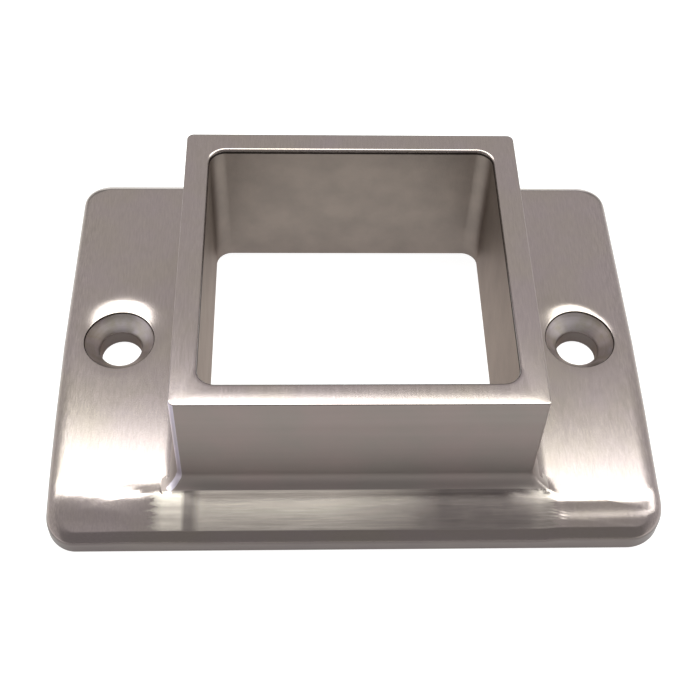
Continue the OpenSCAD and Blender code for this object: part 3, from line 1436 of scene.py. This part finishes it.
# The top's tilt, in degrees, at distances from the foot's middle along Y, in mm. The belt left
# the right wing's fall rippled, and the patch at the shelf's left end flatter than the shelf.
LEFT_FALL = ((23.0, 0), (24.3, 12.3), (25.7, 13.1), (26.4, 17), (27.3, 17), (28.0, 14.6), (32, 14.6))
RIGHT_FALL = ((24.6, 0), (25.7, 15.5), (26.2, 15.5), (27.0, 12.5), (27.5, 12.5), (28.1, 17), (32, 17))
SHELF_FALL = ((24.16, 11.4), (25.0, 13.8), (26.2, 16.5), (27.5, 18.5), (28.2, 19.5), (32, 19.5))
PATCH_FALL = ((24.16, 13.6), (25.0, 14.7), (26.2, 15.8), (28.0, 16.5), (32, 16.5))
BACK_FALL = ((26.5, 0), (28.3, 9), (29.0, 14), (32, 14))

# Distances from the foot's middle along X between which the shelf's fall turns into the patch's
# and each wing's, and along Y between which the shelf's lift starts, in mm
PATCH_START = (20.3, 21.7)
LEFT_START = (25.0, 31.5)
RIGHT_START = (23.5, 25.5)
LIFT_START = (22.5, 23.6)

# How much earlier a wing's fall starts, in mm, at distances from the foot's middle along X
LEFT_PULL = ((26, -1.0), (29, -0.5), (32, 0), (37, 0.35), (39.25, 1.0))
RIGHT_PULL = ((25, -0.05), (31, 0), (36, 0.1), (39.25, 0.9))

# How the foot's edge tilts on its way round, in degrees, against the share of the way: the
# ends are ground to a facet, and the sides are soft
END_ROLL = ((0, 0), (0.05, 18), (0.68, 26), (0.85, 68), (1, 90))
SIDE_ROLL = ((0, 0), (0.3, 12), (0.6, 35), (0.85, 70), (1, 90))

# How squarely a face looks to the front or the back where the lines change to the ends' way
END_FACING = (0.55, 0.8)
# Distance from a screw hole's axis at which the turned lines have their stated length, in mm
CONE_RADIUS = 4.0
# Where the scuffs along the foot's sides start, from its middle along X, in mm
SCUFFED_FROM = (36.0, 37.5)
# Where the painted shade at the countersinks' front ends, along Y, in mm
FRONT_SHADE_ENDS = (-4.3, -3.0)

FINISHES = {
    # A soft mirror, smeared across lines that run front to back: it carries the studio's tones
    Skin.BRUSHED: Finish(
        name="brushed stainless steel",
        main="908584",
        other="908680",
        patch=9.0,
        roughness=0.21,
        streaks=0.015,
        stretch=0.9,
        lines=Lines.FOOT,
        spacing=0.16,
        length=1.6,
        grain=0.22,
        grain_depth=0.0014,
        shade=0.05,
        scuffs=0.05,
    ),
    # Dark steel under pale zones of painted highlight, with a darker stripe of painted shade, and fine
    # lines from side to side
    Skin.SHELF: Finish(
        name="cross-brushed stainless steel",
        main="6b6361",
        other="736b68",
        patch=3.0,
        roughness=0.2,
        streaks=0.03,
        stretch=0.7,
        lines=Lines.ACROSS,
        spacing=0.16,
        length=5.0,
        shade=0.1,
        highlight_colour="dcd2c7",
        # Shares of painted highlight along X; the dip near -21 mm paints a darker stripe of shade
        zones=(
            (-25.9, 0.15),
            (-25.2, 0.35),
            (-24.2, 0.72),
            (-22.0, 0.8),
            (-21.5, 0.1),
            (-20.7, 0.1),
            (-19.5, 0.75),
            (-3, 0.73),
            (5, 0.35),
            (11, 0.0),
            (21, 0.0),
            (25.8, 0.3),
        ),
    ),
    # A pale, faintly violet line of painted highlight up the fillet's corner
    Skin.ARRIS_HIGHLIGHT: Finish(
        name="painted highlight on stainless steel edge",
        main="c4bccb",
        other="beb6be",
        patch=6.0,
        roughness=0.5,
        streaks=0.02,
        stretch=0.3,
        lines=Lines.ROUND,
        spacing=0.3,
        length=4.0,
    ),
    # Dull, and darkened with painted shade so that the holes look deep
    Skin.BORED: Finish(
        name="bored stainless steel",
        main="625a58",
        other="5d5552",
        patch=6.0,
        roughness=0.42,
        streaks=0.02,
        stretch=0.3,
        edge_tint="d0c4bd",
        lines=Lines.TURN,
        spacing=0.2,
        length=4.0,
    ),
    # A near-black hairline of painted shade in the steps round the socket's mouth and the countersinks
    Skin.SHADE_LINE: Finish(
        name="painted shade line on stainless steel",
        main="38322f",
        other="332e2b",
        patch=3.0,
        roughness=0.6,
        grain=0.3,
        grain_depth=0.003,
    ),
    # An even, almost matt grey with faint level lines
    Skin.SATIN: Finish(
        name="satin stainless steel",
        main="948885",
        other="8f8783",
        patch=8.0,
        roughness=0.55,
        streaks=0.03,
        stretch=0.3,
        lines=Lines.ROUND,
        spacing=0.3,
        length=12.0,
        depth=0.004,
        grain=0.5,
        grain_depth=0.003,
    ),
    # Warm, dull and lightly pebbled, without lines
    Skin.CAST: Finish(
        name="as-cast stainless steel",
        main="8b817a",
        other="817872",
        patch=5.0,
        roughness=0.5,
        edge_tint="d8cdc9",
        grain=0.9,
        grain_depth=0.02,
    ),
    # A soft ringed sheen on the countersinks, with painted shade darkening their front
    Skin.TURNED: Finish(
        name="turned stainless steel",
        main="aba1a3",
        other="9f968e",
        patch=1.6,
        roughness=0.36,
        streaks=0.03,
        stretch=0.2,
        edge_tint="d0c4bd",
        lines=Lines.TURN,
        spacing=0.2,
        length=8.0,
        grain=0.35,
        grain_depth=0.002,
        shade=0.05,
        front_shade=0.6,
    ),
    # Plain grey with long lines, on the underside and its broken edges
    Skin.GROUND: Finish(
        name="ground stainless steel",
        main="8f8680",
        other="87807a",
        patch=10.0,
        roughness=0.4,
        streaks=0.03,
        stretch=0.6,
        lines=Lines.FOOT,
        spacing=0.3,
        length=20.0,
        depth=0.004,
    ),
    # A softer sanded band round the foot's sides, darkened with painted shade
    Skin.EDGE: Finish(
        name="sanded stainless steel edge with painted shade",
        main="6a6261",
        other="6f6764",
        patch=10.0,
        roughness=0.34,
        streaks=0.02,
        stretch=0.7,
        lines=Lines.FOOT,
        spacing=0.16,
        length=2.5,
    ),
}

LEFT_BOW = ((-28, -0.33), (-23, -0.34), (-18.5, -0.18), (-12, 0.0), (0, 0.2), (16, 0.12), (28, 0.05))
RIGHT_BOW = ((-28, -0.05), (-23, -0.15), (-16, 0.0), (-11, 0.12), (0, 0.26), (14, 0.16), (28, 0.05))
MARKS = (
    Hollow(x=-31.65, wide=3.1, least=0.95, turn=-5, power=0.8, slope=0.14, drawn=0.36),
    Hollow(x=31.7, wide=1.8, least=0.9, turn=45, power=1.5, slope=0.125, drawn=0.42),
    Mark(x=-27.6, y=-22.6, long=4.4, wide=1.6, turn=-3, rise=-0.085, heights=(1.0, 1.5, 4.6, 5.1)),
    Mark(x=24.0, y=-23.5, long=1.1, wide=0.45, turn=-42, rise=0.2),
    Mark(x=21.6, y=-24.0, long=0.8, wide=0.3, turn=-20, rise=0.06),
    Crease(start=(27.8, -27.85), end=(37.2, -29.1), wide=0.22, rise=0.012),
    Bow(side=-1, bows=LEFT_BOW),
    Bow(side=1, bows=RIGHT_BOW),
)


def main() -> None:
    """Builds the studio, the camera and the casting."""
    logging.basicConfig(level=logging.INFO, format="%(name)s: %(message)s")
    Camera().build()
    Studio().build()
    low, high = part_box("flange")
    foot = Foot(half_w=(high.x - low.x) / 2 / MM, half_d=(high.y - low.y) / 2 / MM)
    collar = Collar(height=high.z / MM)
    eye = ScrewEye(x=SCREW_X, hole_r=mount("screw_holes")["hole_r_mm"])
    materials = tuple(FINISHES[kind].material() for kind in Skin)
    piece = Casting(foot, collar, eye).build(ScrewHoles(SCREW_X, materials))
    press(piece, MARKS)
    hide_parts("flange")
    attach(piece, "root")
    LOG.info("%s: %d faces, %d points", piece.name, len(piece.data.polygons), len(piece.data.vertices))
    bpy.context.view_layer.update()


if __name__ == "__main__":
    main()
